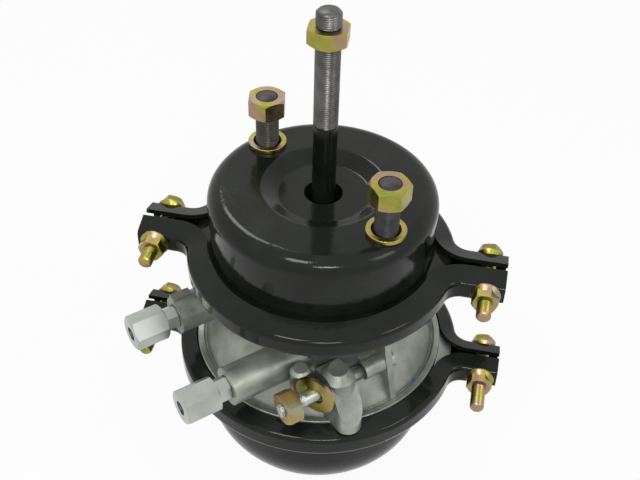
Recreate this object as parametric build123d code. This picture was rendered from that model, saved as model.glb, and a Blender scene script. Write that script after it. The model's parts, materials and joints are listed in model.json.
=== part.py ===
from build123d import *
import math
import os

# A double-diaphragm spring brake chamber, in millimetres.
# The origin is the centre of the mounting face. +Z runs along the pushrod and +X points to one mounting stud.
# Heights are measured from the mounting face, so everything below it is negative.

# Clearances
running_gap = 0.06
thread_gap = 0.08
hole_gap = 0.3
seat_gap = 0.1
ring_gap = 0.3
diaphragm_edge_gap = 0.6

# How far a cutting shape runs past the face that it cuts
overshoot = 1.0

# The spacing of the mounting studs sets the size of the housing and of all that lies round it
stud_spacing = 120.65
stud_x = stud_spacing / 2

# Service housing, a deep-drawn steel cup
housing_wall = 2.8
housing_r = stud_x + 17.575
housing_foot_r = housing_r - 1.3
housing_foot_bend_r = 3.0
housing_shoulder_r = 10.5
recess_top_r = stud_x - 18.325
recess_floor_r = recess_top_r - 11.0
recess_depth = 6.0
recess_bend_r = 5.0
rod_hole_r = 13.0
formed_bend_r = 4.0
vent_hole_r = 4.0
vent_height_below_face = 38.0
vent_angles = [60, 120]

# Mounting studs with their nuts and spring washers
stud_r = 8.0
stud_pitch_r = 7.4
stud_neck_r = 8.6
stud_length = 38.7
stud_chamfer = 1.2
stud_head_radial = 12.0
stud_head_across = 22.0
stud_head_thickness = 4.5
stud_nut_flats = 24.0
stud_nut_height = 13.0
stud_nut_turns = [18.0, 48.0]
lock_washer_r = 13.3
lock_washer_bore_r = 9.6
lock_washer_thickness = 3.0
lock_washer_slit = 1.6
lock_washer_edge_r = 0.5
lock_washer_turns = [120.0, 150.0]
nut_chamfer_angle = 30.0
thread_relief = 0.5

# Pushrod, its jam nut and its plate
pushrod_r = 7.94
pushrod_pitch_r = 7.4
pushrod_top = 128.0
pushrod_chamfer = 1.5
jam_nut_flats = 24.0
jam_nut_height = 10.5
jam_nut_top = 118.0
jam_nut_turn = 10.0
rod_collar_r = 14.0
rod_collar_height = 4.0
rod_rivet_r = 5.5
push_plate_r = housing_r - 23.9
push_plate_thickness = 3.0
push_plate_rim_height = 6.0
stroke = 57.0

# Clamp bands, bent from channel
band_thickness = 3.0
band_slope = 17.0
band_bend_r = 1.0
bead_width = 12.0
ear_bend_r = 12.0
ear_angle = 38.1
upper_band_mid = -59.0
upper_band_half_height = 6.8
upper_lip_r = housing_r + 1.6
upper_band_r = housing_r + 16.1
upper_bolt_reach = upper_band_r + 22.5
upper_ear_reach = upper_bolt_reach + 12.5
upper_ear_depth = 35.5
lower_band_mid = -147.0
lower_band_half_height = 7.5
dome_r = housing_r + 8.1
lower_lip_r = dome_r + 6.0
lower_band_r = dome_r + 18.0
lower_bolt_reach = lower_band_r + 20.0
lower_ear_reach = lower_bolt_reach + 12.0
lower_ear_depth = 29.0

# Radii that the flanges inside the bands leave
lip_lean = band_thickness * math.sin(math.radians(band_slope))
upper_wall_r = upper_lip_r - lip_lean - ring_gap
rim_outer_r = lower_lip_r - lip_lean - ring_gap
upper_flange_r = upper_band_r - band_thickness - diaphragm_edge_gap
lower_flange_r = lower_band_r - band_thickness - diaphragm_edge_gap

# Clamp bolts and flange nuts
clamp_bolt_r = 5.0
clamp_bolt_length = 58.0
clamp_bolt_flats = 16.0
clamp_bolt_head = 8.0
clamp_nut_height = 10.0
flange_disc_r = 10.3
flange_disc_thickness = 2.0
clamp_bolt_turn = 12.0
clamp_nut_turn = 10.0

# Cast centre body
upper_floor = -92.0
lower_ceiling = -112.0
waist_r = upper_wall_r - 12.8
waist_top = -95.0
waist_bottom = -105.0
cone_foot_r = rim_outer_r - 5.8
cone_foot = -137.5
rim_inner_r = rim_outer_r - 4.2
rim_top = -135.0
upper_bowl_floor_r = waist_r - 3.5
upper_bowl_mouth_r = upper_wall_r - 4.1
lower_bowl_ceiling_r = waist_r - 5.0
lower_bowl_mouth_r = rim_outer_r - 6.3
lower_bowl_foot_r = cone_foot_r - 6.0
bowl_corner_r = 8.0
cast_corner_r = 4.0
edge_r = 0.6
pocket_r = 26.0
pocket_depth = 6.5
hub_r = 21.0
hub_bottom = -118.0
rib_thickness = 5.0
rib_root = 3.0
rib_top = -85.0
rib_top_r = waist_r + 8.5
rib_angles = [94.5, 150.0, 205.0, 262.0]

# Air ports, side by side, and the lug and pocket that carry the stowed caging bolt
port_angle = -97.5
port_offset = waist_r - 27.0
port_height = -105.0
port_boss_r = 13.5
port_face = waist_r + 33.0
port_thread_r = 7.0
port_thread_depth = 17.0
port_thread_runout = 2.0
port_seal_seat_r = 8.5
port_seal_seat_depth = 1.9
port_passage_r = 4.0
port_passage_reach = waist_r - 23.5
port_block_length = 14.5
port_block_width = 7.5
port_block_top = -90.5
port_block_shift = 3.8
stow_offset = waist_r + 7.0
stow_height = -108.0
lug_reach = waist_r - 33.0
column_top = -93.0
column_top_r = 6.6
column_top_drop = 1.0
column_shoulder_r = 12.0
column_shoulder_drop = 6.0
column_foot_r = 15.0
column_root_r = 11.5
web_thickness = 19.0
web_face = lug_reach + 10.0
web_inset = 12.0
foot_reach = rim_outer_r + 6.2
foot_bottom = -135.4
foot_shoulder = -128.0
lug_root = -139.0
lug_root_y = stow_offset + 5.5
lug_root_lean = 2.0
small_column_reach = waist_r - 11.5
small_column_offset = waist_r - 6.0
small_column_r = 7.2
small_column_top_r = 5.0
small_column_top = -92.5
pocket_boss_r = 6.6
pocket_boss_start = -12.0
pocket_boss_end = 12.3
pocket_boss_wall = 2.0
pocket_end_gap = 1.0
pocket_backing_height = 9.0

# Tube fittings in the ports
fitting_hex_flats = 15.0
fitting_hex_length = 9.5
fitting_hex_turn = 10.0
fitting_bore_r = 4.0
fitting_stem_r = 8.0
fitting_stem_length = 10.0
union_nut_flats = 22.5
union_nut_length = 25.0
union_nut_turn = 16.0
throat_cone = 1.0
tube_r = 5.0
tube_gap = 0.15
tube_bore_length = 8.0
sleeve_r = 7.2
sleeve_length = 5.0

# Stowed caging bolt with its washer and nut
caging_bolt_r = 5.0
caging_bolt_tip = 79.0
caging_bolt_chamfer = 1.0
caging_washer_r = 14.8
caging_washer_bore_r = 6.5
caging_washer_thickness = 2.4
caging_washer_tilt = 26.0
caging_washer_drop = 1.3
caging_nut_flats = 21.0
caging_nut_height = 11.0
caging_nut_face = 65.5
caging_nut_turn = 14.0

# Adapter rod that carries the parking force through the centre body
adapter_rod_r = 11.0
adapter_head_r = 22.0
adapter_head_thickness = 5.0
adapter_head_edge_r = 1.5
adapter_rivet_r = 7.0
adapter_plate_r = lower_bowl_ceiling_r - 6.5
adapter_plate_thickness = 4.0
bushing_r = 14.0
bushing_length = 9.0
seal_section_r = 1.75
seal_pitch = 4.6
retainer_thickness = 1.2
retainer_opening = 4.0

# Diaphragms
diaphragm_thickness = 3.2
service_flat_r = push_plate_r + 2.0
spring_flat_r = adapter_plate_r + 8.0
diaphragm_bend_r = 6.0

# Spring chamber, a deep-drawn steel dome
dome_wall = 3.2
dome_corner_r = 49.0
dome_bottom = -238.4
caging_hole_r = 9.5
dome_recess_floor_r = 16.0
dome_recess_top_r = 20.0
dome_recess_depth = 6.0
dome_recess_bend_r = 4.0
plug_flange_r = 13.5
plug_flange_thickness = 3.0
plug_lip_r = 11.0
plug_taper = 1.0

# Pressure plate and springs
pressure_plate_r = adapter_plate_r + 4.0
pressure_plate_thickness = 5.0
pressure_rim_height = 8.0
pressure_hub_r = 20.0
pressure_hub_length = 34.0
pressure_bore_r = 9.5
pressure_key_length = 26.0
pressure_key_width = 8.0
return_wire_r = 2.4
return_top_r = push_plate_r - 5.5
return_bottom_r = 34.0
return_turns = 3.5
adapter_wire_r = 1.5
adapter_spring_top_r = 27.0
adapter_spring_bottom_r = 42.0
adapter_spring_turns = 3.0
power_wire_r = 6.0
power_top_r = pressure_plate_r - 12.0
power_bottom_r = 29.0
power_turns = 5.25

# Heights that follow from the sizes above, with the parking spring holding the pushrod out
slope = math.tan(math.radians(band_slope))
slant = 1 / math.cos(math.radians(band_slope))
push_plate_bottom = upper_floor + diaphragm_thickness + ring_gap + stroke
push_plate_top = push_plate_bottom + push_plate_thickness
adapter_head_top = push_plate_bottom - diaphragm_thickness - 2 * ring_gap
adapter_plate_top = hub_bottom - ring_gap
adapter_plate_bottom = adapter_plate_top - adapter_plate_thickness
pressure_plate_top = adapter_plate_bottom - diaphragm_thickness - 2 * ring_gap
pressure_plate_bottom = pressure_plate_top - pressure_plate_thickness
pocket_floor = upper_floor - pocket_depth
stud_nut_foot = stud_length - stud_nut_height
jam_nut_foot = jam_nut_top - jam_nut_height


def disc(radius, low, high, x=0.0, y=0.0):
    """An upright cylinder between two heights."""
    return Pos(x, y, (low + high) / 2) * Cylinder(radius, high - low)


def ring(outer, inner, low, high):
    """An upright tube between two heights."""
    return disc(outer, low, high) - disc(inner, low, high)


def block(x_low, x_high, y_low, y_high, z_low, z_high):
    """A box given by its limits."""
    middle = Pos((x_low + x_high) / 2, (y_low + y_high) / 2, (z_low + z_high) / 2)
    return middle * Box(x_high - x_low, y_high - y_low, z_high - z_low)


def spun(outline):
    """A solid turned about Z from a closed outline of (radius, height) points."""
    corners = [(radius, 0, height) for radius, height in outline]
    return revolve(make_face(Polyline(*corners, close=True)), Axis.Z)


def mitred(points, distance):
    """The path beside an open path, at this distance on its right, with mitred corners."""
    directions = []
    for (r0, z0), (r1, z1) in zip(points, points[1:]):
        length = math.hypot(r1 - r0, z1 - z0)
        directions.append(((r1 - r0) / length, (z1 - z0) / length))
    beside = []
    for index, (r, z) in enumerate(points):
        before = directions[max(index - 1, 0)]
        after = directions[min(index, len(directions) - 1)]
        across = (before[1] + after[1], -before[0] - after[0])
        scale = distance / (1 + before[0] * after[0] + before[1] * after[1])
        beside.append((r + across[0] * scale, z + across[1] * scale))
    return beside


def turns_right(points, corner):
    """Whether a path turns to its right at one of its inner points."""
    (r0, z0), (r1, z1), (r2, z2) = points[corner - 1 : corner + 2]
    return (r1 - r0) * (z2 - z1) - (z1 - z0) * (r2 - r1) < 0


def formed_sheet(points, radii, wall):
    """A pressed shell of even thickness, turned about Z.

    The points run along its outer surface and the radii round its inner points.
    The wall lies on the right of the path.
    """
    inner_radii = []
    for index, radius in enumerate(radii):
        inner_radii.append(radius - wall if turns_right(points, index + 1) else radius + wall)
    outer = FilletPolyline(*[(r, 0, z) for r, z in points], radius=radii)
    inner = FilletPolyline(*[(r, 0, z) for r, z in mitred(points, wall)], radius=inner_radii)
    ends = [Line(outer @ 0, inner @ 0), Line(outer @ 1, inner @ 1)]
    return revolve(make_face([outer, inner, *ends]), Axis.Z)


def upside_down(shape, height):
    """The shape turned over about a level line at this height."""
    return mirror(shape, Plane.XY.offset(height))


def hexagon(flats, low, high, chamfered_top=True, chamfered_bottom=False):
    """An upright hexagonal prism with its corners chamfered as on a nut."""
    corner_r = flats / math.sqrt(3)
    drop = (corner_r - flats / 2) * math.tan(math.radians(nut_chamfer_angle))
    prism = Pos(0, 0, low) * extrude(RegularPolygon(corner_r, 6), high - low)
    top = [(flats / 2, high), (corner_r, high - drop)] if chamfered_top else [(corner_r, high)]
    bottom = [(corner_r, low + drop), (flats / 2, low)] if chamfered_bottom else [(corner_r, low)]
    return prism & spun([(0, high), *top, *bottom, (0, low)])


def plain_nut(flats, height, bore_r):
    """A hexagon nut standing on Z 0."""
    return hexagon(flats, 0, height, chamfered_bottom=True) - disc(bore_r, -overshoot, height + overshoot)


def flange_hexagon(flats, height):
    """A hexagon on its pressed-on flange, standing on Z 0."""
    skirt_top_r = flats / 2
    skirt_top = flange_disc_thickness * 2
    skirt = [
        (0, 0),
        (flange_disc_r, 0),
        (flange_disc_r, flange_disc_thickness / 2),
        (skirt_top_r, skirt_top),
        (0, skirt_top),
    ]
    return spun(skirt) + hexagon(flats, 0, height)


def chamfered_rod(radius, low, high, chamfer_size):
    """An upright rod with its upper end chamfered."""
    outline = [(0, low), (radius, low), (radius, high - chamfer_size), (radius - chamfer_size, high), (0, high)]
    return spun(outline)


def coil(wire_r, top_r, top, bottom_r, bottom, turns):
    """A conical coil of round wire between two seat heights."""
    height = top - bottom - 2 * wire_r
    cone = math.degrees(math.atan2(top_r - bottom_r, height))
    path = Helix(height / turns, height, bottom_r, cone_angle=cone)
    section = Plane(origin=path @ 0, z_dir=path % 0) * Circle(wire_r)
    return Pos(0, 0, bottom + wire_r) * sweep(section, path)


def in_port_frame(shape):
    """Turns a shape whose +X is the way that the ports face into place."""
    return Rot(0, 0, port_angle) * shape


def along_port(shape, reach, offset, height):
    """Lays an upright shape down along the ports, with its Z 0 at this reach."""
    return in_port_frame(Pos(reach, offset, height) * Rot(0, 90, 0) * shape)


def in_ear_frame(shape):
    """Turns a shape whose +X is the line of the ears and whose -Y is the nut side into place."""
    return Rot(0, 0, ear_angle) * shape


def lip_inside(radius, band_r, half_height):
    """How far from its middle plane the inner face of a clamp band lies at this radius."""
    return half_height + (band_r - radius) * slope - band_thickness * slant


def bead_half(radius, band_r, half_height, flange_wall):
    """Half the thickness of the diaphragm bead at this radius."""
    return lip_inside(radius, band_r, half_height) - (flange_wall + 2 * seat_gap) * slant


def upper_flange_line(radius):
    """Height above the middle plane of the outer face of a flange in the upper band."""
    return lip_inside(radius, upper_band_r, upper_band_half_height) - seat_gap * slant


def lower_flange_line(radius):
    """Height above the middle plane of the outer face of a flange in the lower band."""
    return lip_inside(radius, lower_band_r, lower_band_half_height) - seat_gap * slant


def service_housing():
    wall_foot = upper_band_mid + upper_flange_line(housing_foot_r)
    outside = [
        (rod_hole_r, -recess_depth),
        (recess_floor_r, -recess_depth),
        (recess_top_r, 0),
        (housing_r, 0),
        (housing_foot_r, wall_foot),
        (upper_flange_r, upper_band_mid + upper_flange_line(upper_flange_r)),
    ]
    radii = [recess_bend_r, recess_bend_r, housing_shoulder_r, housing_foot_bend_r]
    cup = formed_sheet(outside, radii, housing_wall)
    for side in (-1, 1):
        cup -= disc(stud_neck_r + seat_gap, -2 * housing_wall, overshoot, x=side * stud_x)
    for angle in vent_angles:
        drill = Pos(housing_r, 0, -vent_height_below_face) * Rot(0, 90, 0)
        cup -= Rot(0, 0, angle) * drill * Cylinder(vent_hole_r, 6 * housing_wall)
    return cup


def mounting_studs():
    studs = []
    for side in (-1, 1):
        shank = chamfered_rod(stud_r, -housing_wall, stud_length, stud_chamfer)
        shank -= ring(2 * stud_r, stud_pitch_r, stud_nut_foot - thread_relief, stud_length + overshoot)
        neck = disc(stud_neck_r, -housing_wall, 0)
        head = block(
            -stud_head_radial / 2,
            stud_head_radial / 2,
            -stud_head_across / 2,
            stud_head_across / 2,
            -housing_wall - stud_head_thickness,
            -housing_wall,
        )
        studs.append(Pos(side * stud_x, 0, 0) * (shank + neck + head))
    return studs


def stud_nuts():
    nut = plain_nut(stud_nut_flats, stud_nut_height, stud_pitch_r + thread_gap)
    places = zip((-stud_x, stud_x), stud_nut_turns)
    return [Pos(x, 0, stud_nut_foot) * Rot(0, 0, turn) * nut for x, turn in places]


def stud_lock_washers():
    washer = ring(lock_washer_r, lock_washer_bore_r, 0, lock_washer_thickness)
    rounded = fillet(washer.edges(), lock_washer_edge_r)
    half_slit = lock_washer_slit / 2
    split = rounded - block(0, 2 * lock_washer_r, -half_slit, half_slit, -overshoot, 2 * lock_washer_thickness)
    places = zip((-stud_x, stud_x), lock_washer_turns)
    return [Pos(x, 0, 0) * Rot(0, 0, turn) * split for x, turn in places]


def pushrod():
    """The threaded rod, drawn at its pitch radius inside the jam nut, riveted to the push plate."""
    shank = chamfered_rod(pushrod_r, push_plate_top, pushrod_top, pushrod_chamfer)
    shank -= ring(2 * pushrod_r, pushrod_pitch_r, jam_nut_foot - thread_relief, jam_nut_top + thread_relief)
    collar = disc(rod_collar_r, push_plate_top, push_plate_top + rod_collar_height)
    rivet = disc(rod_rivet_r, push_plate_bottom, push_plate_top)
    return shank + collar + rivet


def pushrod_nut():
    nut = plain_nut(jam_nut_flats, jam_nut_height, pushrod_pitch_r + thread_gap)
    return Pos(0, 0, jam_nut_foot) * Rot(0, 0, jam_nut_turn) * nut


def push_plate():
    turned_face = push_plate_top + push_plate_thickness
    outside = [
        (rod_rivet_r + seat_gap, turned_face),
        (push_plate_r - push_plate_thickness, turned_face),
        (push_plate_r, push_plate_top - push_plate_rim_height),
    ]
    plate = formed_sheet(outside, [formed_bend_r + push_plate_thickness], push_plate_thickness)
    return upside_down(plate, push_plate_top)


def service_return_spring():
    return coil(return_wire_r, return_top_r, -housing_wall, return_bottom_r, push_plate_top, return_turns)


def diaphragm(middle, band_r, half_height, flange_wall, flange_r, flat_r, centre_top):
    """A rubber diaphragm with a wedge bead in its band and its flat centre pushed up."""
    bead_inner_r = band_r - bead_width
    bead = [
        (flange_r, middle + bead_half(flange_r, band_r, half_height, flange_wall)),
        (bead_inner_r, middle + bead_half(bead_inner_r, band_r, half_height, flange_wall)),
        (bead_inner_r, middle - bead_half(bead_inner_r, band_r, half_height, flange_wall)),
        (flange_r, middle - bead_half(flange_r, band_r, half_height, flange_wall)),
    ]
    foot_r = bead_inner_r - 2 * diaphragm_thickness
    surface = [
        (0, centre_top),
        (flat_r, centre_top),
        (foot_r, middle + diaphragm_thickness / 2),
        (bead_inner_r + overshoot, middle + diaphragm_thickness / 2),
    ]
    return spun(bead) + formed_sheet(surface, [diaphragm_bend_r, diaphragm_bend_r], diaphragm_thickness)


def service_diaphragm():
    centre_top = push_plate_bottom - ring_gap
    return diaphragm(
        upper_band_mid,
        upper_band_r,
        upper_band_half_height,
        housing_wall,
        upper_flange_r,
        service_flat_r,
        centre_top,
    )


def spring_diaphragm():
    centre_top = adapter_plate_bottom - ring_gap
    return diaphragm(
        lower_band_mid,
        lower_band_r,
        lower_band_half_height,
        dome_wall,
        lower_flange_r,
        spring_flat_r,
        centre_top,
    )


def channel_section(band_r, half_height, lip_r):
    """The section of a clamp band, with X 0 on the outer face of its web and its lips towards -X."""
    lip_length = band_r - lip_r
    lip_height = half_height + lip_length * slope
    outside = [(-lip_length, lip_height), (0, half_height), (0, -half_height), (-lip_length, -lip_height)]
    outer = FilletPolyline(*[(x, 0, z) for x, z in outside], radius=band_bend_r + band_thickness)
    inner = FilletPolyline(*[(x, 0, z) for x, z in mitred(outside, band_thickness)], radius=band_bend_r)
    return make_face([outer, inner, Line(outer @ 0, inner @ 0), Line(outer @ 1, inner @ 1)])


def clamp_half(band_r, half_height, lip_r, bolt_reach, reach, ear_depth, middle, front):
    """Half of a clamp band: one channel round the flanges, bent outwards into an ear at each end."""
    section = channel_section(band_r, half_height, lip_r)
    face = ear_depth / 2
    bend_y = face + ear_bend_r
    bend_x = math.sqrt((band_r + ear_bend_r) ** 2 - bend_y**2)
    leave_angle = math.degrees(math.atan2(bend_y, bend_x))
    half = revolve(Rot(0, 0, leave_angle) * Pos(band_r, 0, 0) * section, Axis.Z, 180 - 2 * leave_angle)
    bend_axis = Axis((bend_x, bend_y, 0), (0, 0, 1))
    bend_start = Pos(bend_x, bend_y, 0) * Rot(0, 0, 180 + leave_angle) * Pos(ear_bend_r, 0, 0)
    bend = revolve(bend_start * mirror(section, Plane.YZ), bend_axis, 90 - leave_angle)
    ear = extrude(Pos(bend_x, face, 0) * Rot(0, 0, 90) * section, reach - bend_x, dir=(1, 0, 0))
    ear -= Pos(bolt_reach, face, 0) * Rot(90, 0, 0) * Cylinder(clamp_bolt_r + hole_gap, ear_depth / 2)
    for piece in (bend, ear):
        half = half + piece + mirror(piece, Plane.YZ)
    turned = Rot(0, 0, 180) * half if front else half
    return in_ear_frame(Pos(0, 0, middle) * turned)


def on_clamp(shape, bolt_reach, side, middle):
    """Lays an upright shape on a clamp bolt's line, with +Z to the nut side and its Z 0 in the ear plane."""
    return in_ear_frame(Pos(side * bolt_reach, 0, middle) * Rot(90, 0, 0) * shape)


def clamp_bolts(bolt_reach, ear_depth, middle):
    head = upside_down(flange_hexagon(clamp_bolt_flats, clamp_bolt_head), 0)
    shank = chamfered_rod(clamp_bolt_r, 0, clamp_bolt_length, stud_chamfer)
    bolt = Pos(0, 0, -ear_depth / 2) * (head + shank)
    places = [(side, Rot(0, 0, clamp_bolt_turn * side) * bolt) for side in (-1, 1)]
    return [on_clamp(turned, bolt_reach, side, middle) for side, turned in places]


def clamp_nuts(bolt_reach, ear_depth, middle):
    bore = disc(clamp_bolt_r + thread_gap, -overshoot, clamp_nut_height + overshoot)
    seated = Pos(0, 0, ear_depth / 2) * (flange_hexagon(clamp_bolt_flats, clamp_nut_height) - bore)
    places = [(side, Rot(0, 0, clamp_nut_turn * side) * seated) for side in (-1, 1)]
    return [on_clamp(turned, bolt_reach, side, middle) for side, turned in places]


def spun_rounded(corners):
    """A solid turned about Z from (radius, height, rounding) corners, from the axis outwards and back."""
    first = (0, 0, corners[0][1])
    last = (0, 0, corners[-1][1])
    points = [(radius, 0, height) for radius, height, rounding in corners]
    outline = FilletPolyline(first, *points, last, radius=[rounding for radius, height, rounding in corners])
    return revolve(make_face([outline, Line(last, first)]), Axis.Z)


def outer_form():
    """The turned outer form of the cast body, still solid: a waist between two flanges."""
    upper_bead = bead_half(upper_flange_r, upper_band_r, upper_band_half_height, housing_wall)
    upper_mouth_bead = bead_half(upper_wall_r, upper_band_r, upper_band_half_height, housing_wall)
    lower_bead = bead_half(lower_flange_r, lower_band_r, lower_band_half_height, dome_wall)
    lower_mouth_bead = bead_half(rim_inner_r, lower_band_r, lower_band_half_height, dome_wall)
    return spun_rounded(
        [
            (upper_wall_r, upper_band_mid - upper_mouth_bead - seat_gap, edge_r),
            (upper_flange_r, upper_band_mid - upper_bead - seat_gap, edge_r),
            (upper_flange_r, upper_band_mid - upper_flange_line(upper_flange_r), edge_r),
            (upper_wall_r, upper_band_mid - upper_flange_line(upper_wall_r), edge_r),
            (waist_r, waist_top, cast_corner_r),
            (waist_r, waist_bottom, 2 * cast_corner_r),
            (cone_foot_r, cone_foot, edge_r),
            (rim_inner_r, rim_top, edge_r),
            (rim_outer_r, rim_top, edge_r),
            (rim_outer_r, lower_band_mid + lower_flange_line(rim_outer_r), edge_r),
            (lower_flange_r, lower_band_mid + lower_flange_line(lower_flange_r), edge_r),
            (lower_flange_r, lower_band_mid + lower_bead + seat_gap, edge_r),
            (rim_inner_r, lower_band_mid + lower_mouth_bead + seat_gap, edge_r),
        ]
    )


def upper_bowl():
    """The space under the service diaphragm, with the pocket for the head of the adapter rod."""
    mouth = upper_band_mid
    return spun_rounded(
        [
            (pocket_r, pocket_floor, edge_r),
            (pocket_r, upper_floor, edge_r),
            (upper_bowl_floor_r, upper_floor, bowl_corner_r),
            (upper_bowl_mouth_r, mouth - bowl_corner_r, bowl_corner_r),
            (upper_bowl_mouth_r, mouth, edge_r),
        ]
    )


def lower_bowl():
    """The space over the spring diaphragm, round the hub of the centre bore."""
    mouth = lower_band_mid
    bowl = spun_rounded(
        [
            (lower_bowl_ceiling_r, lower_ceiling, bowl_corner_r),
            (lower_bowl_foot_r, cone_foot, bowl_corner_r),
            (lower_bowl_mouth_r, mouth + bowl_corner_r, edge_r),
            (lower_bowl_mouth_r, mouth, edge_r),
        ]
    )
    return bowl - disc(hub_r, hub_bottom, lower_ceiling + overshoot)


def body_rib():
    """One upright rib from under the upper band to the rim, its outer edge leaning out with the cone."""
    outline = [
        (waist_r - rib_root, 0, rib_top),
        (rib_top_r, 0, rib_top),
        (rim_inner_r, 0, rim_top),
        (rim_inner_r, 0, cone_foot),
        (cone_foot_r - rib_root, 0, cone_foot),
        (waist_r - rib_root, 0, waist_bottom),
    ]
    return extrude(make_face(Polyline(*outline, close=True)), rib_thickness / 2, both=True)


def port_boss(side):
    """A port's boss, reaching out from inside the waist to its machined face, drawn in the port frame."""
    length = port_face - waist_r / 2
    return Pos(waist_r / 2, side * port_offset, port_height) * Rot(0, 90, 0) * disc(port_boss_r, 0, length)


def port_drillings(side):
    """The thread, the passage and the drilling up or down into a bowl, drawn in the port frame."""
    inward = Pos(port_face, side * port_offset, port_height) * Rot(0, -90, 0)
    thread = inward * disc(port_thread_r + thread_gap, -overshoot, port_thread_depth)
    seal_seat = inward * disc(port_seal_seat_r, -overshoot, port_seal_seat_depth)
    passage = inward * disc(port_passage_r, 0, port_face - port_passage_reach)
    opening = upper_floor + overshoot if side < 0 else lower_ceiling - overshoot
    low, high = sorted((port_height, opening))
    upright = disc(port_passage_r, low, high, x=port_passage_reach, y=side * port_offset)
    return thread + seal_seat + passage + upright


def stow_lug():
    """The column and the sloping web that hold the stowed bolt, ending in a foot over the lower band."""
    y = stow_offset
    web_back = web_face - web_thickness
    shoulder = column_top - column_shoulder_drop
    column = spun(
        [
            (0, lug_root),
            (column_root_r, lug_root),
            (column_root_r, foot_bottom),
            (column_foot_r, foot_bottom),
            (column_shoulder_r, shoulder),
            (column_top_r, column_top - column_top_drop),
            (column_top_r, column_top),
            (0, column_top),
        ]
    )
    side_view = [
        (0, y - web_inset, lug_root),
        (0, y - web_inset, shoulder),
        (0, y + web_inset / 2, shoulder),
        (0, foot_reach, foot_shoulder),
        (0, foot_reach, foot_bottom),
        (0, lug_root_y, foot_bottom),
        (0, lug_root_y - lug_root_lean, lug_root),
    ]
    web = extrude(make_face(Polyline(*side_view, close=True)), web_face + overshoot, dir=(1, 0, 0))
    foot_r = web_thickness / 2
    low, high = lug_root - overshoot, column_top + overshoot
    kept = block(web_back, web_face, 0, foot_reach - foot_r, low, high)
    kept += disc(foot_r, low, high, x=web_back + foot_r, y=foot_reach - foot_r)
    return (Pos(lug_reach, y, 0) * column + web) & kept


def port_block():
    """The cast block on top of the far port's boss, drawn in the port frame."""
    middle_y = -port_offset - port_block_shift
    return block(
        port_face - port_block_length,
        port_face,
        middle_y - port_block_width / 2,
        middle_y + port_block_width / 2,
        port_height,
        port_block_top,
    )


def small_column():
    """The column between the near port and the lug, drawn in the port frame."""
    step = small_column_top - (small_column_r - small_column_top_r)
    outline = [
        (0, waist_bottom - 2 * small_column_r),
        (small_column_r, waist_bottom - 2 * small_column_r),
        (small_column_r, step),
        (small_column_top_r, small_column_top),
        (0, small_column_top),
    ]
    return Pos(small_column_reach, small_column_offset, 0) * spun(outline)


def pocket_backing():
    """The web between the waist and the pocket of the stowed bolt, drawn in the port frame."""
    half_height = pocket_backing_height / 2
    return block(
        pocket_boss_start,
        pocket_boss_end - pocket_boss_wall,
        waist_r - pocket_boss_r,
        stow_offset,
        stow_height - half_height,
        stow_height + half_height,
    )


def stow_pocket(radius, start, end):
    """A round along the stowed bolt's line, drawn in the port frame."""
    return Pos(start, stow_offset, stow_height) * Rot(0, 90, 0) * disc(radius, 0, end - start)


def centre_bore():
    """The bore for the adapter rod, with the seats of its bushing, snap ring and seals."""
    bushing_seat = pocket_floor - retainer_thickness - bushing_length
    bore = disc(bushing_r + seat_gap, bushing_seat, pocket_floor + overshoot)
    bore += disc(adapter_rod_r + ring_gap, hub_bottom - overshoot, bushing_seat + overshoot)
    for height in seal_heights():
        bore += disc(adapter_rod_r + 2 * seal_section_r, height - seal_section_r, height + seal_section_r)
    return bore


def flange_body():
    body = outer_form()
    for angle in rib_angles:
        body += Rot(0, 0, port_angle + angle) * body_rib()
    pocket_boss = stow_pocket(pocket_boss_r, pocket_boss_start, pocket_boss_end)
    bosses = [port_boss(-1), port_boss(1), port_block(), pocket_boss, pocket_backing()]
    for piece in [*bosses, stow_lug(), small_column()]:
        body += in_port_frame(piece)
    body = body - upper_bowl() - lower_bowl()
    hole_start = pocket_boss_start + pocket_boss_wall
    bolt_hole = stow_pocket(caging_bolt_r + hole_gap, hole_start, web_face + overshoot)
    spot_face = stow_pocket(caging_washer_r + 2 * hole_gap, web_face, caging_bolt_tip)
    for cut in (port_drillings(-1), port_drillings(1), bolt_hole, spot_face):
        body -= in_port_frame(cut)
    return body - centre_bore()


def seal_heights():
    first = pocket_floor - retainer_thickness - bushing_length - seal_pitch / 2
    return [first - seal_pitch * index for index in range(2)]


def centre_bushing():
    top = pocket_floor - retainer_thickness
    return ring(bushing_r, adapter_rod_r + running_gap, top - bushing_length, top)


def bushing_retainer():
    low = pocket_floor - retainer_thickness
    half_opening = retainer_opening / 2
    opening = block(0, 2 * bushing_r, -half_opening, half_opening, low - overshoot, pocket_floor + overshoot)
    return ring(bushing_r, adapter_rod_r + 2 * ring_gap, low, pocket_floor) - opening


def centre_seals():
    section_r = seal_section_r - running_gap
    middle_r = adapter_rod_r + seal_section_r
    return [Pos(0, 0, height) * Torus(middle_r, section_r) for height in seal_heights()]


def adapter_rod():
    rod = disc(adapter_rod_r, adapter_plate_top, adapter_head_top)
    head = disc(adapter_head_r, adapter_head_top - adapter_head_thickness, adapter_head_top)
    rivet = disc(adapter_rivet_r, adapter_plate_bottom, adapter_plate_top)
    return rod + fillet(head.edges().group_by(Axis.Z)[-1], adapter_head_edge_r) + rivet


def adapter_plate():
    plate = disc(adapter_plate_r, adapter_plate_bottom, adapter_plate_top)
    plate = fillet(plate.edges(), adapter_plate_thickness / 3)
    bore_low = adapter_plate_bottom - overshoot
    return plate - disc(adapter_rivet_r + seat_gap, bore_low, adapter_plate_top + overshoot)


def adapter_return_spring():
    return coil(
        adapter_wire_r,
        adapter_spring_top_r,
        lower_ceiling,
        adapter_spring_bottom_r,
        adapter_plate_top,
        adapter_spring_turns,
    )


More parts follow.
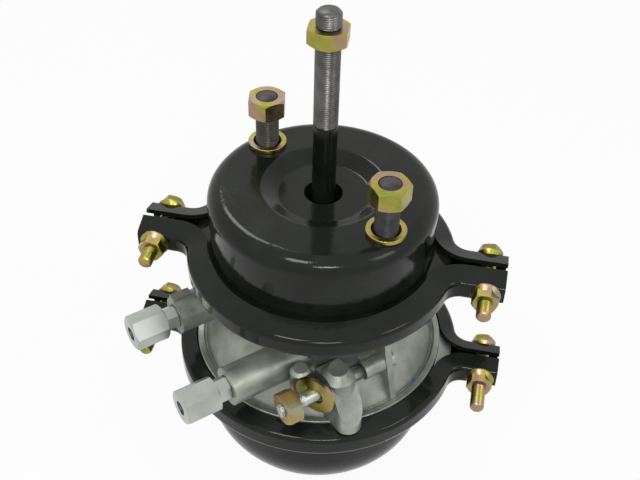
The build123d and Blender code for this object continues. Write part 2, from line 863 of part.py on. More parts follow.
def pressure_plate():
    outside = [
        (pressure_bore_r, pressure_plate_top),
        (pressure_plate_r, pressure_plate_top),
        (pressure_plate_r, pressure_plate_bottom - pressure_rim_height),
    ]
    plate = formed_sheet(outside, [formed_bend_r + pressure_plate_thickness], pressure_plate_thickness)
    hub_low = pressure_plate_bottom - pressure_hub_length
    plate += disc(pressure_hub_r, hub_low, pressure_plate_top)
    plate -= disc(pressure_bore_r, hub_low - overshoot, pressure_plate_bottom)
    key = block(
        -pressure_key_length / 2,
        pressure_key_length / 2,
        -pressure_key_width / 2,
        pressure_key_width / 2,
        hub_low - overshoot,
        pressure_plate_bottom,
    )
    return plate - key


def power_spring():
    seat = dome_bottom + dome_wall
    return coil(power_wire_r, power_top_r, pressure_plate_bottom, power_bottom_r, seat, power_turns)


def spring_chamber():
    wall_top = lower_band_mid - lower_flange_line(dome_r)
    bottom = 2 * lower_band_mid - dome_bottom
    outside = [
        (caging_hole_r, bottom - dome_recess_depth),
        (dome_recess_floor_r, bottom - dome_recess_depth),
        (dome_recess_top_r, bottom),
        (dome_r, bottom),
        (dome_r, 2 * lower_band_mid - wall_top),
        (lower_flange_r, lower_band_mid + lower_flange_line(lower_flange_r)),
    ]
    radii = [dome_recess_bend_r, dome_recess_bend_r, dome_corner_r, formed_bend_r]
    return upside_down(formed_sheet(outside, radii, dome_wall), lower_band_mid)


def dust_plug():
    outer_face = dome_bottom + dome_recess_depth
    inner_face = outer_face + dome_wall
    stem_r = caging_hole_r - running_gap
    outline = [
        (0, outer_face - plug_flange_thickness),
        (plug_flange_r, outer_face - plug_flange_thickness),
        (plug_flange_r, outer_face),
        (stem_r, outer_face),
        (stem_r, inner_face + seat_gap),
        (plug_lip_r, inner_face + seat_gap),
        (stem_r - plug_taper, inner_face + 2 * plug_flange_thickness),
        (0, inner_face + 2 * plug_flange_thickness),
    ]
    return spun(outline)


def port_fittings():
    """Two fittings: a threaded end, a hexagon outside the boss and a plain stem in the union nut."""
    thread_end = port_thread_runout - port_thread_depth
    stem_end = fitting_hex_length + fitting_stem_length
    thread = disc(port_thread_r, thread_end, fitting_hex_length)
    flats = hexagon(fitting_hex_flats, 0, fitting_hex_length, chamfered_bottom=True)
    flats = Rot(0, 0, fitting_hex_turn) * flats
    stem = disc(fitting_stem_r, fitting_hex_length, stem_end)
    fitting = thread + flats + stem - disc(fitting_bore_r, thread_end - overshoot, stem_end + overshoot)
    return [along_port(fitting, port_face, side * port_offset, port_height) for side in (-1, 1)]


def port_seals():
    """Two rings in the seats of the ports, round the threads of the fittings."""
    low = seat_gap - port_seal_seat_depth
    seal = ring(port_seal_seat_r - seat_gap, port_thread_r + thread_gap, low, -seat_gap)
    return [along_port(seal, port_face, side * port_offset, port_height) for side in (-1, 1)]


def union_nuts():
    length = union_nut_length
    throat = length - tube_bore_length
    bore = [
        (0, -overshoot),
        (fitting_stem_r + thread_gap, -overshoot),
        (fitting_stem_r + thread_gap, fitting_stem_length),
        (sleeve_r + hole_gap, throat - throat_cone),
        (tube_r + tube_gap, throat),
        (tube_r + tube_gap, length + overshoot),
        (0, length + overshoot),
    ]
    nut = hexagon(union_nut_flats, 0, length, chamfered_bottom=True) - spun(bore)
    reach = port_face + fitting_hex_length
    placed = []
    for side in (-1, 1):
        turned = Rot(0, 0, union_nut_turn * side) * nut
        placed.append(along_port(turned, reach, side * port_offset, port_height))
    return placed


def tube_sleeves():
    start = fitting_hex_length + fitting_stem_length
    sleeve = ring(sleeve_r, tube_r + tube_gap, start, start + sleeve_length)
    return [along_port(sleeve, port_face, side * port_offset, port_height) for side in (-1, 1)]


def caging_bolt():
    start = pocket_boss_start + pocket_boss_wall + pocket_end_gap
    bolt = chamfered_rod(caging_bolt_r, start, caging_bolt_tip, caging_bolt_chamfer)
    return along_port(bolt, 0, stow_offset, stow_height)


def caging_washer():
    """The loose washer, hanging askew on the bolt with one edge against the lug."""
    tilt = math.radians(caging_washer_tilt)
    half = caging_washer_thickness / 2
    reach = web_face + caging_washer_r * math.sin(tilt) + half * math.cos(tilt) + seat_gap
    washer = Rot(0, 90, 0) * ring(caging_washer_r, caging_washer_bore_r, -half, half)
    hung = Pos(reach, stow_offset, stow_height - caging_washer_drop) * Rot(0, 0, caging_washer_tilt) * washer
    return in_port_frame(hung)


def caging_nut():
    nut = plain_nut(caging_nut_flats, caging_nut_height, caging_bolt_r + thread_gap)
    return along_port(Rot(0, 0, caging_nut_turn) * nut, caging_nut_face, stow_offset, stow_height)


def upper_clamp(front):
    return clamp_half(
        upper_band_r,
        upper_band_half_height,
        upper_lip_r,
        upper_bolt_reach,
        upper_ear_reach,
        upper_ear_depth,
        upper_band_mid,
        front,
    )


def lower_clamp(front):
    return clamp_half(
        lower_band_r,
        lower_band_half_height,
        lower_lip_r,
        lower_bolt_reach,
        lower_ear_reach,
        lower_ear_depth,
        lower_band_mid,
        front,
    )


nodes = {
    "service_housing": service_housing(),
    "mounting_studs": mounting_studs(),
    "stud_nuts": stud_nuts(),
    "stud_lock_washers": stud_lock_washers(),
    "pushrod": pushrod(),
    "pushrod_nut": pushrod_nut(),
    "push_plate": push_plate(),
    "service_return_spring": service_return_spring(),
    "service_diaphragm": service_diaphragm(),
    "upper_clamp_front": upper_clamp(True),
    "upper_clamp_rear": upper_clamp(False),
    "upper_clamp_bolts": clamp_bolts(upper_bolt_reach, upper_ear_depth, upper_band_mid),
    "upper_clamp_nuts": clamp_nuts(upper_bolt_reach, upper_ear_depth, upper_band_mid),
    "flange_body": flange_body(),
    "port_fittings": port_fittings(),
    "port_seals": port_seals(),
    "union_nuts": union_nuts(),
    "tube_sleeves": tube_sleeves(),
    "caging_bolt": caging_bolt(),
    "caging_washer": caging_washer(),
    "caging_nut": caging_nut(),
    "centre_bushing": centre_bushing(),
    "bushing_retainer": bushing_retainer(),
    "centre_seals": centre_seals(),
    "adapter_rod": adapter_rod(),
    "adapter_plate": adapter_plate(),
    "adapter_return_spring": adapter_return_spring(),
    "lower_clamp_front": lower_clamp(True),
    "lower_clamp_rear": lower_clamp(False),
    "lower_clamp_bolts": clamp_bolts(lower_bolt_reach, lower_ear_depth, lower_band_mid),
    "lower_clamp_nuts": clamp_nuts(lower_bolt_reach, lower_ear_depth, lower_band_mid),
    "spring_diaphragm": spring_diaphragm(),
    "pressure_plate": pressure_plate(),
    "power_spring": power_spring(),
    "spring_chamber": spring_chamber(),
    "dust_plug": dust_plug(),
}

os.makedirs("parts", exist_ok=True)
for name, shape in nodes.items():
    pieces = shape if isinstance(shape, list) else [shape]
    solids = [solid for piece in pieces for solid in piece.solids()]
    export_step(Compound(children=solids) if len(solids) > 1 else solids[0], f"parts/{name}.step")
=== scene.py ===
from collections import namedtuple
import json
import math

import bmesh
import bpy
from mathutils import Matrix, Vector


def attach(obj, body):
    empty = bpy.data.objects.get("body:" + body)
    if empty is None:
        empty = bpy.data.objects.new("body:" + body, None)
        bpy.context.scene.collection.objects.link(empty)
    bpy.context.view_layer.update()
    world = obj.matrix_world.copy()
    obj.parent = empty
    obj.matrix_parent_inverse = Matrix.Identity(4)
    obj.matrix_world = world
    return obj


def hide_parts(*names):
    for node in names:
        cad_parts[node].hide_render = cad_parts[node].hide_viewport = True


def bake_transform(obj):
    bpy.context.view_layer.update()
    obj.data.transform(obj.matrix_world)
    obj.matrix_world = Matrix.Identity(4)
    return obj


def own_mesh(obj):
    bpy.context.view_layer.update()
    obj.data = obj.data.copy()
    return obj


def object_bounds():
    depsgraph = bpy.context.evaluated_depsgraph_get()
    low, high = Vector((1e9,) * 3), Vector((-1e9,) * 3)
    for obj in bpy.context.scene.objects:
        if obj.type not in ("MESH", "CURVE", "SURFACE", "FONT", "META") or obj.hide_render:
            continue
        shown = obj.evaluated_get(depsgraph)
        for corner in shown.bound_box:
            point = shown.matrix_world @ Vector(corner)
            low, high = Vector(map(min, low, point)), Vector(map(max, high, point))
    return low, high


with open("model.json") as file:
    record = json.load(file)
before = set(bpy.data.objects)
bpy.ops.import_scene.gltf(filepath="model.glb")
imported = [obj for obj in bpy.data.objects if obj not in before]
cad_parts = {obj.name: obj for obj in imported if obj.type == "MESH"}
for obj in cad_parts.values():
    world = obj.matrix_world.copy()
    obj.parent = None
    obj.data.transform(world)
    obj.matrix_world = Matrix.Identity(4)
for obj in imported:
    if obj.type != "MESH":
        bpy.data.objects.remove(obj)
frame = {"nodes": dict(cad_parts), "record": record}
cad_low, cad_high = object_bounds()

MM = 0.001

# Places and sizes repeated from the model, in millimetres and degrees.
# A neck is (low end, high end, radius) where the thread runs at its pitch radius, inside a nut.
# The plain length is the part at the low end that has no thread.
Thread = namedtuple("Thread", "radius pitch depth chamfer neck plain", defaults=(None, 0.0))
PUSHROD_LOW = -20.0
PUSHROD_TOP = 128.0
PUSHROD_PLAIN_TOP = 48.3
PUSHROD_THREAD = Thread(
    radius=7.94,
    pitch=1.41,
    depth=0.75,
    chamfer=1.5,
    neck=(107.0, 118.5, 7.4),
    plain=PUSHROD_PLAIN_TOP - PUSHROD_LOW,
)
STUD_X = 60.325
STUD_LOW = 0.5
STUD_TOP = 38.7
STUD_THREAD = Thread(radius=8.0, pitch=1.5, depth=0.8, chamfer=1.2, neck=(25.2, 38.7, 7.4))
EAR_ANGLE = 38.1
# Clamp bolts: reach of their axis, height, and start and end of the thread along the bolt
EAR_BOLTS = {
    "upper_clamp_bolts": (116.5, -59.0, 17.2, 40.25),
    "lower_clamp_bolts": (124.0, -147.0, 13.9, 43.5),
}
CLAMP_BOLT_THREAD = Thread(radius=5.0, pitch=1.25, depth=0.65, chamfer=1.2)
PORT_ANGLE = -97.5
STOW_OFFSET = 72.523
STOW_HEIGHT = -108.0
CAGING_THREAD_START = 60.0
CAGING_BOLT_TIP = 79.0
CAGING_BOLT_THREAD = Thread(radius=5.0, pitch=1.25, depth=0.65, chamfer=1.0)
# Inner soft pieces: the height that the chamber holds, and the body at the other end with its height
FLEXING = {
    "service_diaphragm": (-54.8, "pushrod_group", -35.0),
    "service_return_spring": (-2.8, "pushrod_group", -28.5),
    "adapter_return_spring": (-112.0, "parking_group", -118.3),
    "spring_diaphragm": (-142.5, "parking_group", -126.4),
}

# One turn of a thread, as (share of the pitch, 0 at the root and 1 at the crest)
THREAD_PROFILE = ((0.0, 0.0), (0.32, 1.0), (0.5, 1.0), (0.82, 0.0))
THREAD_SEGMENTS = 40
SMOOTH_ANGLE = 35.0

# Tolerances of the mesh work, and how far from a rod's axis its cut reaches, in metres
MERGE_DISTANCE = 2e-6
DEGENERATE_LENGTH = 1e-6
CUT_REACH = 0.02

# The blue dab fades out between two radii. The pushrod's paint ends where the height and a noise
# of that depth add up to the edge. All in metres.
BLUE_DAB = (0.0825, 0.0188, -0.1368)
BLUE_DAB_R = (0.0016, 0.0024)
PAINT_EDGE_NOISE = 0.006
PAINT_EDGE = (0.0522, 0.0528)

# Most of a noise texture's values lie between these
NOISE_LOW, NOISE_HIGH = 0.3, 0.7

# The photo's camera, in the frame whose +Y the camera looks along, in millimetres and degrees
CAMERA_TURN = 48.44
CAMERA_DISTANCE = 498.07
CAMERA_HEIGHT = 394.67
CAMERA_PITCH = 41.683
CAMERA_YAW = -0.147
CAMERA_ROLL = 1.766
CAMERA_LENS = 53.86
CAMERA_SENSOR = 36.0
CAMERA_CLIP_M = (0.01, 20.0)

# The studio, in metres. A radiance of 1 looks white.
FLOOR_HALF_SIZE = 4.0
FLOOR_GREY = 0.90
FLOOR_WHITE_SHARE = 0.93
WORLD_LIGHT = 0.42
LAMP_AIM_HEIGHT = -0.06
LAMPS = {
    "key": dict(azimuth=20.0, elevation=58.0, distance=1.6, width=0.40, height=0.40, radiance=13.0),
    "strip": dict(azimuth=54.0, elevation=34.0, distance=1.5, width=0.45, height=0.10, radiance=40.0),
    "fill": dict(azimuth=110.0, elevation=35.0, distance=1.8, width=0.50, height=0.50, radiance=5.0),
    "back": dict(azimuth=250.0, elevation=50.0, distance=1.8, width=0.45, height=0.45, radiance=7.0),
}


class Finish:
    """A Principled material whose colour, roughness and bump come from procedural nodes."""

    def __init__(self, name, **constants):
        self.material = bpy.data.materials.new(name)
        self.material.use_nodes = True
        self.tree = self.material.node_tree
        self.shader = self.tree.nodes["Principled BSDF"]
        for socket, value in constants.items():
            self.shader.inputs[socket.replace("_", " ")].default_value = value
        coordinates = self.tree.nodes.new("ShaderNodeTexCoord")
        self.place = coordinates.outputs["Object"]

    def link(self, source, target):
        self.tree.links.new(source, target)

    def noise(self, scale, detail=2.0, roughness=0.5):
        """A noise with about that many waves in a metre."""
        texture = self.tree.nodes.new("ShaderNodeTexNoise")
        texture.inputs["Scale"].default_value = scale
        texture.inputs["Detail"].default_value = detail
        texture.inputs["Roughness"].default_value = roughness
        self.link(self.place, texture.inputs["Vector"])
        return texture.outputs["Fac"]

    def math(self, operation, *values):
        node = self.tree.nodes.new("ShaderNodeMath")
        node.operation = operation
        for socket, value in zip(node.inputs, values):
            if isinstance(value, (int, float)):
                socket.default_value = value
            else:
                self.link(value, socket)
        return node.outputs["Value"]

    def remap(self, value, low, high, to_low=0.0, to_high=1.0):
        node = self.tree.nodes.new("ShaderNodeMapRange")
        node.inputs["From Min"].default_value = low
        node.inputs["From Max"].default_value = high
        node.inputs["To Min"].default_value = to_low
        node.inputs["To Max"].default_value = to_high
        self.link(value, node.inputs["Value"])
        return node.outputs["Result"]

    def colours(self, value, *stops):
        """A colour ramp with a stop (position, colour) for each colour."""
        node = self.tree.nodes.new("ShaderNodeValToRGB")
        elements = node.color_ramp.elements
        while len(elements) < len(stops):
            elements.new(0.5)
        for element, (position, colour) in zip(elements, stops):
            element.position = position
            element.color = (*colour, 1.0)
        self.link(value, node.inputs["Fac"])
        return node.outputs["Color"]

    def mottled(self, dark, light, *grain):
        """Drifts between two colours by a noise of the given scale, detail and roughness."""
        return self.colours(self.noise(*grain), (NOISE_LOW, dark), (NOISE_HIGH, light))

    def blend(self, amount, first, second):
        node = self.tree.nodes.new("ShaderNodeMix")
        node.data_type = "RGBA"
        self.link(amount, node.inputs["Factor"])
        for socket, value in ((node.inputs["A"], first), (node.inputs["B"], second)):
            if isinstance(value, tuple):
                socket.default_value = (*value, 1.0)
            else:
                self.link(value, socket)
        return node.outputs["Result"]

    def patch(self, centre, inner, outer):
        """1 inside a round patch about a point and 0 outside it, in metres."""
        node = self.tree.nodes.new("ShaderNodeVectorMath")
        node.operation = "DISTANCE"
        self.link(self.place, node.inputs[0])
        node.inputs[1].default_value = centre
        return self.remap(node.outputs["Value"], outer, inner)

    def height(self):
        parts = self.tree.nodes.new("ShaderNodeSeparateXYZ")
        self.link(self.place, parts.inputs["Vector"])
        return parts.outputs["Z"]

    def facing_up(self):
        geometry = self.tree.nodes.new("ShaderNodeNewGeometry")
        parts = self.tree.nodes.new("ShaderNodeSeparateXYZ")
        self.link(geometry.outputs["Normal"], parts.inputs["Vector"])
        return parts.outputs["Z"]

    def base(self, colour):
        self.link(colour, self.shader.inputs["Base Color"])

    def metallic(self, value):
        self.link(value, self.shader.inputs["Metallic"])

    def roughness(self, value):
        self.link(value, self.shader.inputs["Roughness"])

    def rough(self, value, low, high):
        self.roughness(self.remap(value, NOISE_LOW, NOISE_HIGH, low, high))

    def bump(self, value, depth, strength):
        node = self.tree.nodes.new("ShaderNodeBump")
        node.inputs["Strength"].default_value = strength
        node.inputs["Distance"].default_value = depth
        self.link(value, node.inputs["Height"])
        self.link(node.outputs["Normal"], self.shader.inputs["Normal"])


# The gloss of the black paint: the noise behind it, and its least and greatest roughness
PAINT_GLOSS_NOISE = (18.0, 3.0)
PAINT_GLOSS = (0.07, 0.18)
# How much rougher than the paint the bare thread is
BARE_ROUGHER = 0.22
BARE_METALLIC = 0.9
CAST_METALLIC = 0.75


def paint_colour(finish):
    """Black paint, with dust and a painted reflection that lighten what faces up."""
    black, worn, dust_and_sheen = (0.005, 0.006, 0.005), (0.010, 0.012, 0.009), (0.026, 0.030, 0.023)
    paint = finish.colours(finish.noise(35.0, 3.0), (0.35, black), (0.65, worn))
    # Dust and a painted reflection: what faces up is blended towards a lighter grey, most on the top.
    lying = finish.remap(finish.facing_up(), 0.2, 1.0, 0.0, 0.5)
    dust_and_sheen_share = finish.math("MULTIPLY", lying, finish.noise(60.0, 4.0))
    return finish.blend(dust_and_sheen_share, paint, dust_and_sheen)


def black_paint():
    finish = Finish("black_paint_finish", Metallic=0.0, Specular_IOR_Level=0.2)
    finish.base(paint_colour(finish))
    finish.rough(finish.noise(*PAINT_GLOSS_NOISE), *PAINT_GLOSS)
    finish.bump(finish.noise(260.0, 2.0), 0.00025, 0.35)
    return finish.material


def cast_aluminium():
    """Sand-cast aluminium with one dab of blue marking paint by the rim."""
    finish = Finish("cast_aluminium_finish")
    dark, light, blue = (0.20, 0.215, 0.185), (0.38, 0.40, 0.35), (0.02, 0.16, 0.42)
    dab = finish.patch(BLUE_DAB, *BLUE_DAB_R)
    finish.base(finish.blend(dab, finish.mottled(dark, light, 45.0, 4.0, 0.6), blue))
    finish.metallic(finish.remap(dab, 0.0, 1.0, CAST_METALLIC, 0.0))
    finish.rough(finish.noise(120.0, 3.0), 0.34, 0.52)
    finish.bump(finish.noise(900.0, 3.0, 0.6), 0.0003, 0.5)
    return finish.material


def plated(name, *stops):
    """A passivated zinc plating whose tint drifts from patch to patch."""
    finish = Finish(name, Metallic=1.0)
    finish.base(finish.colours(finish.noise(75.0, 2.0), *stops))
    finish.rough(finish.noise(160.0, 3.0), 0.24, 0.42)
    finish.bump(finish.noise(700.0, 2.0), 0.0001, 0.3)
    return finish.material


def yellow_zinc():
    olive, gold = (0.25, 0.27, 0.05), (0.36, 0.31, 0.07)
    pink, straw = (0.37, 0.24, 0.16), (0.28, 0.27, 0.17)
    return plated("yellow_zinc_finish", (0.30, olive), (0.48, gold), (0.58, pink), (0.72, straw))


def orange_zinc():
    straw, amber, orange = (0.33, 0.31, 0.19), (0.34, 0.26, 0.10), (0.42, 0.25, 0.08)
    return plated("orange_zinc_finish", (0.36, straw), (0.48, amber), (0.62, orange))


def bright_zinc():
    finish = Finish("bright_zinc_finish", Metallic=0.95)
    finish.base(finish.mottled((0.37, 0.39, 0.36), (0.47, 0.49, 0.45), 60.0, 2.0))
    finish.rough(finish.noise(120.0, 2.0), 0.30, 0.40)
    finish.bump(finish.noise(400.0, 2.0), 0.0001, 0.05)
    return finish.material


def bare_steel():
    """The bare rolled thread of the pushrod, with the ragged edge of the black paint at its foot."""
    finish = Finish("bare_steel_finish", Specular_IOR_Level=0.2)
    steel = finish.mottled((0.055, 0.054, 0.053), (0.15, 0.148, 0.145), 70.0, 4.0, 0.6)
    edge_noise = finish.noise(220.0, 3.0, 0.6)
    ragged = finish.math("MULTIPLY_ADD", edge_noise, PAINT_EDGE_NOISE, finish.height())
    bare = finish.remap(ragged, *PAINT_EDGE)
    finish.base(finish.blend(bare, paint_colour(finish), steel))
    finish.metallic(finish.remap(bare, 0.0, 1.0, 0.0, BARE_METALLIC))
    gloss_noise = finish.noise(*PAINT_GLOSS_NOISE)
    paint_gloss = finish.remap(gloss_noise, NOISE_LOW, NOISE_HIGH, *PAINT_GLOSS)
    finish.roughness(finish.math("MULTIPLY_ADD", bare, BARE_ROUGHER, paint_gloss))
    finish.bump(finish.noise(900.0, 2.0), 0.0001, 0.3)
    return finish.material


def dark_steel():
    finish = Finish("dark_steel_finish", Metallic=0.7)
    finish.base(finish.mottled((0.030, 0.028, 0.030), (0.085, 0.075, 0.070), 80.0, 4.0, 0.6))
    finish.rough(finish.noise(160.0, 3.0), 0.30, 0.50)
    finish.bump(finish.noise(900.0, 2.0), 0.0001, 0.3)
    return finish.material


def black_rubber():
    finish = Finish("black_rubber_finish", Metallic=0.0)
    finish.base(finish.mottled((0.012, 0.012, 0.012), (0.028, 0.027, 0.026), 60.0, 3.0))
    finish.rough(finish.noise(150.0, 2.0), 0.45, 0.65)
    finish.bump(finish.noise(500.0, 2.0), 0.0002, 0.3)
    return finish.material


def bearing_plastic():
    finish = Finish("bearing_plastic_finish", Metallic=0.0)
    finish.base(finish.mottled((0.30, 0.30, 0.27), (0.38, 0.37, 0.34), 60.0, 2.0))
    finish.rough(finish.noise(150.0, 2.0), 0.45, 0.60)
    finish.bump(finish.noise(500.0, 2.0), 0.0002, 0.2)
    return finish.material


finishes = {
    "black_paint": black_paint(),
    "cast_aluminium": cast_aluminium(),
    "yellow_zinc": yellow_zinc(),
    "orange_zinc": orange_zinc(),
    "bright_zinc": bright_zinc(),
    "bare_steel": bare_steel(),
    "spring_steel": dark_steel(),
    "black_rubber": black_rubber(),
    "grey_bush": bearing_plastic(),
    "plated_steel": bright_zinc(),
}

body_of_node = {}
for body, nodes in frame["record"]["behaviour"]["bodies"].items():
    for node in nodes:
        body_of_node[node] = body
slot_of_node = {row["node"]: row["material_slot"] for row in frame["record"]["subparts"]}


def dress(node, material):
    """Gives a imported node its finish."""
    piece = frame["nodes"][node]
    if not piece.material_slots:
        piece.data.materials.append(material)
    for held in piece.material_slots:
        held.material = material


for node in frame["nodes"]:
    dress(node, finishes[slot_of_node[node]])
dress("caging_nut", finishes["orange_zinc"])


def thread_column(thread, low, high, share):
    """The outline (radius, height) of a threaded rod where its thread has turned by that share of a turn."""
    column = [(0.0, low), (thread.radius, low)]
    for turn in range(-1, math.ceil((high - low) / thread.pitch) + 1):
        for phase, level in THREAD_PROFILE:
            z = low + thread.pitch * (turn + phase + share)
            runout = min(max((z - low - thread.plain) / thread.pitch, 0.0), 1.0)
            r = thread.radius - thread.depth * (1 - level) * runout
            z = min(max(z, low), high)
            if thread.neck and thread.neck[0] < z <= thread.neck[1]:
                r = min(r, thread.neck[2])
            column.append((min(r, thread.radius - max(0.0, z - (high - thread.chamfer))), z))
    column.append((min(thread.radius, column[-1][0]), high))
    column.append((0.0, high))
    return column


def add_threaded_rod(bm, place, thread, low, high, index):
    """Adds a rod with a helical thread and a chamfered, closed end, along its own +Z, in millimetres."""
    columns = []
    for step in range(THREAD_SEGMENTS + 1):
        angle = 2 * math.pi * step / THREAD_SEGMENTS
        column = []
        for r, z in thread_column(thread, low, high, step / THREAD_SEGMENTS):
            point = Vector((r * math.cos(angle), r * math.sin(angle), z))
            column.append(bm.verts.new(place @ point * MM))
        columns.append(column)
    for left, right in zip(columns, columns[1:]):
        for k in range(len(left) - 1):
            face = bm.faces.new((left[k], right[k], right[k + 1], left[k + 1]))
            face.material_index = index
    verts = [vert for column in columns for vert in column]
    bmesh.ops.remove_doubles(bm, verts=verts, dist=MERGE_DISTANCE)


def finished_piece(name, bm, materials):
    bmesh.ops.dissolve_degenerate(bm, dist=DEGENERATE_LENGTH, edges=bm.edges)
    bmesh.ops.recalc_face_normals(bm, faces=bm.faces)
    mesh = bpy.data.meshes.new(name)
    bm.to_mesh(mesh)
    bm.free()
    piece = bpy.data.objects.new(name, mesh)
    bpy.context.scene.collection.objects.link(piece)
    for material in materials:
        mesh.materials.append(material)
    mesh.shade_smooth()
    mesh.set_sharp_from_angle(angle=math.radians(SMOOTH_ANGLE))
    return piece


def packed_copy(node, cuts):
    """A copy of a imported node's mesh without what lies beyond each cut.
    A cut is (point, direction) in millimetres."""
    bm = bmesh.new()
    bm.from_mesh(frame["nodes"][node].data)
    bmesh.ops.remove_doubles(bm, verts=bm.verts, dist=MERGE_DISTANCE)
    for point, direction in cuts:
        near = []
        for face in bm.faces:
            away = face.calc_center_median() - point * MM
            off_line = away - direction * away.dot(direction)
            if off_line.length < CUT_REACH:
                near.append(face)
        # Dictionaries keep their order, so that the mesh comes out the same each run
        edges = dict.fromkeys(edge for face in near for edge in face.edges)
        verts = dict.fromkeys(vert for face in near for vert in face.verts)
        bmesh.ops.bisect_plane(
            bm,
            geom=[*verts, *edges, *near],
            plane_co=point * MM,
            plane_no=direction,
            clear_outer=True,
        )
    return bm


def threaded_node(node, rods, thread, materials=None):
    """Replaces a node by its copy with real threads. Each rod is (place, start, end) along its own +Z.
    Of two materials, the second goes on the rods."""
    cuts = []
    for place, start, end in rods:
        cuts.append((place @ Vector((0, 0, start)), place.to_3x3() @ Vector((0, 0, 1))))
    bm = packed_copy(node, cuts)
    for place, start, end in rods:
        add_threaded_rod(bm, place, thread, start, end, 1 if materials else 0)
    piece = finished_piece(f"{node}_threaded", bm, materials or [finishes[slot_of_node[node]]])
    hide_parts(node)
    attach(piece, body_of_node[node])


def upright(x):
    return Matrix.Translation((x, 0, 0))


def on_ear(side, reach, middle):
    turn = Matrix.Rotation(math.radians(EAR_ANGLE), 4, "Z")
    lay = Matrix.Rotation(math.radians(90), 4, "X")
    return turn @ Matrix.Translation((side * reach, 0, middle)) @ lay


def along_port(offset, height):
    turn = Matrix.Rotation(math.radians(PORT_ANGLE), 4, "Z")
    lay = Matrix.Rotation(math.radians(90), 4, "Y")
    return turn @ Matrix.Translation((0, offset, height)) @ lay


threaded_node(
    "pushrod",
    [(upright(0), PUSHROD_LOW, PUSHROD_TOP)],
    PUSHROD_THREAD,
    materials=[finishes["black_paint"], finishes["bare_steel"]],
)
threaded_node(
    "mounting_studs",
    [(upright(side * STUD_X), STUD_LOW, STUD_TOP) for side in (-1, 1)],
    STUD_THREAD,
    materials=[finishes["black_paint"], finishes["spring_steel"]],
)
for node, (reach, middle, start, end) in EAR_BOLTS.items():
    threaded_node(
        node,
        [(on_ear(side, reach, middle), start, end) for side in (-1, 1)],
        CLAMP_BOLT_THREAD,
    )
threaded_node(
    "caging_bolt",
    [(along_port(STOW_OFFSET, STOW_HEIGHT), CAGING_THREAD_START, CAGING_BOLT_TIP)],
    CAGING_BOLT_THREAD,
)


def soft_copy(node):
    """Replaces a packed soft piece by a copy of its mesh."""
    piece = finished_piece(f"{node}_soft", packed_copy(node, []), [finishes[slot_of_node[node]]])
    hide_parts(node)
    return piece


for node, (held, body, moved) in FLEXING.items():
    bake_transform(soft_copy(node))
power_spring = soft_copy("power_spring")
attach(power_spring, "chamber")
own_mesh(power_spring)


def place_camera():
    """Puts the camera where the photo was taken from."""
    yaw, pitch, roll = (math.radians(angle) for angle in (CAMERA_YAW, CAMERA_PITCH, CAMERA_ROLL))
    turn = Matrix.Rotation(math.radians(CAMERA_TURN), 3, "Z")
    level = math.cos(pitch)
    forward = turn @ Vector((math.sin(yaw) * level, math.cos(yaw) * level, -math.sin(pitch)))
    right = forward.cross(Vector((0, 0, 1))).normalized()
    up = right.cross(forward)
    rolled_right = math.cos(roll) * right + math.sin(roll) * up
    rolled_up = math.cos(roll) * up - math.sin(roll) * right
    looking = Matrix((rolled_right, rolled_up, -forward)).transposed()
    data = bpy.data.cameras.new("camera")
    data.lens = CAMERA_LENS
    data.sensor_width = CAMERA_SENSOR
    data.clip_start, data.clip_end = CAMERA_CLIP_M
    camera = bpy.data.objects.new("camera", data)
    camera.location = turn @ Vector((0, -CAMERA_DISTANCE, CAMERA_HEIGHT)) * MM
    camera.rotation_mode = "QUATERNION"
    camera.rotation_quaternion = looking.to_quaternion()
    bpy.context.scene.collection.objects.link(camera)
    bpy.context.scene.camera = camera


def seen_ray(tree):
    """1 for rays from the camera, a mirror or glass, and 0 for the light that falls on the object."""
    path = tree.nodes.new("ShaderNodeLightPath")
    total = path.outputs["Is Camera Ray"]
    for name in ("Is Glossy Ray", "Is Transmission Ray"):
        most = tree.nodes.new("ShaderNodeMath")
        most.operation = "MAXIMUM"
        tree.links.new(total, most.inputs[0])
        tree.links.new(path.outputs[name], most.inputs[1])
        total = most.outputs["Value"]
    return total


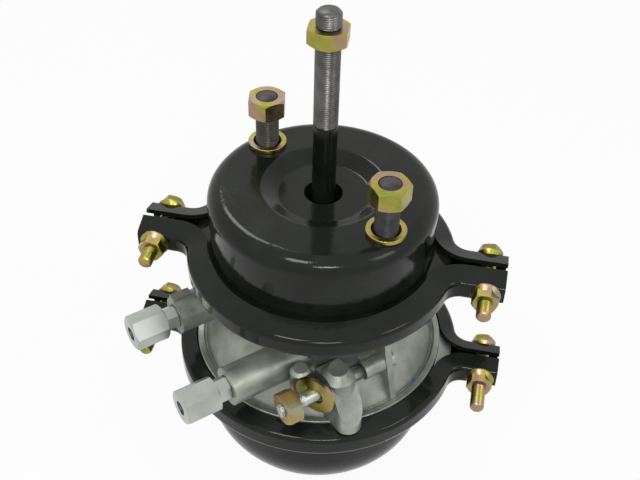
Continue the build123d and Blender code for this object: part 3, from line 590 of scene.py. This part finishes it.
def floor_material():
    """Pale paper that looks close to white to the camera and still takes the object's shadow."""
    material = bpy.data.materials.new("floor_finish")
    material.use_nodes = True
    tree = material.node_tree
    tree.nodes.clear()
    output = tree.nodes.new("ShaderNodeOutputMaterial")
    paper = tree.nodes.new("ShaderNodeBsdfDiffuse")
    paper.inputs["Color"].default_value = (FLOOR_GREY, FLOOR_GREY, FLOOR_GREY, 1.0)
    white = tree.nodes.new("ShaderNodeEmission")
    share = tree.nodes.new("ShaderNodeMath")
    share.operation = "MULTIPLY"
    share.inputs[1].default_value = FLOOR_WHITE_SHARE
    mix = tree.nodes.new("ShaderNodeMixShader")
    tree.links.new(seen_ray(tree), share.inputs[0])
    tree.links.new(share.outputs["Value"], mix.inputs["Fac"])
    tree.links.new(paper.outputs["BSDF"], mix.inputs[1])
    tree.links.new(white.outputs["Emission"], mix.inputs[2])
    tree.links.new(mix.outputs["Shader"], output.inputs["Surface"])
    return material


def make_floor():
    bm = bmesh.new()
    bmesh.ops.create_grid(bm, x_segments=4, y_segments=4, size=FLOOR_HALF_SIZE)
    mesh = bpy.data.meshes.new("floor")
    bm.to_mesh(mesh)
    bm.free()
    mesh.materials.append(floor_material())
    floor = bpy.data.objects.new("floor", mesh)
    floor.location.z = cad_low.z
    bpy.context.scene.collection.objects.link(floor)


def make_world():
    """A world that lights the object softly and shows white behind it."""
    world = bpy.data.worlds.new("studio")
    bpy.context.scene.world = world
    world.use_nodes = True
    tree = world.node_tree
    tree.nodes.clear()
    output = tree.nodes.new("ShaderNodeOutputWorld")
    mix = tree.nodes.new("ShaderNodeMixShader")
    tree.links.new(seen_ray(tree), mix.inputs["Fac"])
    for place, strength in ((1, WORLD_LIGHT), (2, 1.0)):
        background = tree.nodes.new("ShaderNodeBackground")
        background.inputs["Color"].default_value = (1.0, 1.0, 1.0, 1.0)
        background.inputs["Strength"].default_value = strength
        tree.links.new(background.outputs["Background"], mix.inputs[place])
    tree.links.new(mix.outputs["Shader"], output.inputs["Surface"])


def area_light(name, azimuth, elevation, distance, width, height, radiance):
    """A soft lamp aimed at the object. Azimuth 0 is at -Y and 90 at +X."""
    data = bpy.data.lights.new(name, "AREA")
    data.shape = "RECTANGLE"
    data.size = width
    data.size_y = height
    data.energy = radiance * math.pi * width * height
    lamp = bpy.data.objects.new(name, data)
    a, e = math.radians(azimuth), math.radians(elevation)
    away = Vector((math.sin(a) * math.cos(e), -math.cos(a) * math.cos(e), math.sin(e)))
    lamp.location = away * distance + Vector((0, 0, LAMP_AIM_HEIGHT))
    lamp.rotation_mode = "QUATERNION"
    lamp.rotation_quaternion = away.to_track_quat("Z", "Y")
    bpy.context.scene.collection.objects.link(lamp)


place_camera()
make_floor()
make_world()
for name, settings in LAMPS.items():
    area_light(name, **settings)
bpy.context.scene.view_settings.view_transform = "Standard"
